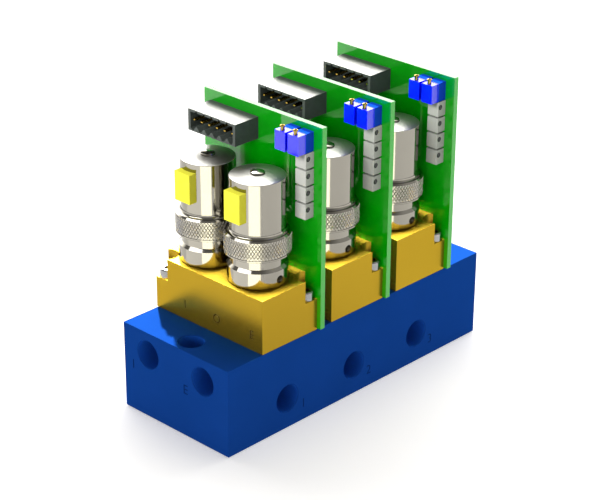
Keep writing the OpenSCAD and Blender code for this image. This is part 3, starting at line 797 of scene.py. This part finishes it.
def floor_card(name, middle, way, half, near, far, color, strength, height, mirrors):
    """A clear lit film flat on the floor, that only some pieces mirror, as a bright band.

    Its corners lie near and far, in metres, from the exhaust valve at x = middle, on both sides of a way
    in degrees round from the front, by half of its angle. The height is in millimetres.
    """
    bpy.ops.mesh.primitive_plane_add(size=1)
    card = bpy.context.object
    card.name = name
    corners = ((near, way - half), (near, way + half), (far, way - half), (far, way + half))
    for vertex, (reach, turn) in zip(card.data.vertices, corners):
        turn = math.radians(turn)
        across, along = reach * math.sin(turn), reach * math.cos(turn)
        vertex.co = (middle * MM + across, VALVE_Y["exhaust"] * MM - along, height * MM)
    film = bpy.data.materials.new(name)
    film.use_nodes = True
    nodes, links = film.node_tree.nodes, film.node_tree.links
    glow, clear, both = (nodes.new("ShaderNode" + kind)
                         for kind in ("Emission", "BsdfTransparent", "AddShader"))
    glow.inputs["Color"].default_value = (*color, 1.0)
    glow.inputs["Strength"].default_value = strength
    links.new(glow.outputs[0], both.inputs[0])
    links.new(clear.outputs[0], both.inputs[1])
    output = next(node for node in nodes if node.type == "OUTPUT_MATERIAL")
    links.new(both.outputs[0], output.inputs["Surface"])
    card.data.materials.append(film)
    card.visible_camera = False
    card.visible_shadow = False
    card.visible_diffuse = False
    light_only(card, mirrors)
    return card


def cad_pieces(*kinds):
    """The solids of these kinds, of every unit."""
    return [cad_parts[f"{kind}_{n}"] for n in UNITS for kind in kinds]


bright_pieces = cans + bases + [buttons] + collars
cards = []
for n in UNITS:
    own_pieces = [piece for piece in bright_pieces if piece.name.endswith(f"_{n}")]
    cards.append(floor_card(f"band_card_{n}", VALVE_X[n], way=-57.5, half=22.5, near=0.07, far=0.2,
                            color=(1.0, 0.98, 0.76), strength=3.2, height=0.4 * n, mirrors=own_pieces))
cards.append(floor_card("left_card", VALVE_X[1], way=-112, half=32, near=0.06, far=0.3,
                        color=(1.0, 0.98, 0.92), strength=0.6, height=1.6, mirrors=bright_pieces))

# The key light comes from behind on the right, so the boards and cans throw shadows to the front left
KEY_RISE = math.radians(35)
key_from = (0.606 * math.cos(KEY_RISE), 0.795 * math.cos(KEY_RISE), math.sin(KEY_RISE))
key = lamp("key", "SUN", key_from, (0, 0, 0), 19.5, angle=math.radians(3))
shaded = cad_pieces("lead_blocks", "circuit_board", "pin_header") + cans
light_only(key, [floor] + cards + shaded, "EXCLUDE")

softbox("brass_softbox", (0.129, 0.224, 0.966), (0, 0, 0), 920.0, (0.5, 0.5), bodies)
softbox("foot_softbox", (-0.65, -0.63, 0.42), (0, 0, 0.04), 3.4, (1.2, 0.6), bodies)
softbox("end_softbox", (-0.95, 0.0, 0.25), (-0.05, 0, 0.01), 1.9, (0.4, 0.3), [manifold])
softbox("board_softbox", (-0.95, -0.25, 0.45), (0, 0, 0.05), 5.8, (0.8, 0.5), cad_pieces("circuit_board"))
softbox("side_softbox", (-0.8, -0.12, 0.62), (0, 0, 0.06), 22.0, (0.4, 0.4),
        indicators + cad_pieces("trimmer_housings", "trimmer_bases", "lead_blocks", "pin_header"))
softbox("header_softbox", (0.6, 0.59, 0.5), (0, 0, 0.075), 56.0, (0.7, 0.5), cad_pieces("pin_header"),
        (1.0, 0.97, 0.9))
softbox("can_softbox", (0.6, 0.59, 0.55), (0, 0, 0.07), 20.0, (1.1, 0.7), cans)
softbox("top_softbox", (-0.545, 0.254, 0.85), (0, 0, 0.05), 5.0, (0.7, 0.35), bright_pieces)


# Sky: bright low down behind on the right, dim elsewhere

world = bpy.data.worlds.new("studio")
bpy.context.scene.world = world
world.use_nodes = True
tree = world.node_tree
background = next(n for n in tree.nodes if n.type == "BACKGROUND")
background.inputs["Strength"].default_value = 5.0
heading = tree.nodes.new("ShaderNodeTexCoord").outputs["Generated"]


def sky_part(way, stops):
    """How far a sky direction points along a way, put through a ramp of (place, tone) stops."""
    along = tree.nodes.new("ShaderNodeVectorMath")
    along.operation = "DOT_PRODUCT"
    along.inputs[1].default_value = way
    tree.links.new(heading, along.inputs[0])
    ramp = tree.nodes.new("ShaderNodeValToRGB")
    for stop, (place, tone) in zip(ramp.color_ramp.elements, stops):
        stop.position = place
        stop.color = (tone, 0.985 * tone, 0.95 * tone, 1.0)
    tree.links.new(along.outputs["Value"], ramp.inputs["Fac"])
    return ramp.outputs["Color"]


def blend_sky(kind, factor, first, second):
    """Mixes two parts of the sky."""
    mix = tree.nodes.new("ShaderNodeMixRGB")
    mix.blend_type = kind
    for socket, value in zip(("Fac", "Color1", "Color2"), (factor, first, second)):
        if isinstance(value, float):
            mix.inputs[socket].default_value = value
        else:
            tree.links.new(value, mix.inputs[socket])
    return mix.outputs["Color"]


BACK_RIGHT, FRONT_RIGHT = (0.719, 0.695, 0), (0.866, -0.5, 0)
dim = sky_part(UPWARD, ((0.0, 0.32), (0.45, 0.06)))
bright = sky_part(UPWARD, ((0.72, 1.0), (0.88, 0.06)))
sky = blend_sky("MIX", sky_part(BACK_RIGHT, ((0.3, 0.0), (0.6, 1.0))), dim, bright)
sky = blend_sky("ADD", 1.0, sky, sky_part(FRONT_RIGHT, ((0.1, 0.0), (0.55, 0.085))))
tree.links.new(sky, background.inputs["Color"])

scene = bpy.context.scene
scene.view_settings.view_transform = "Standard"
scene.view_settings.look = "None"
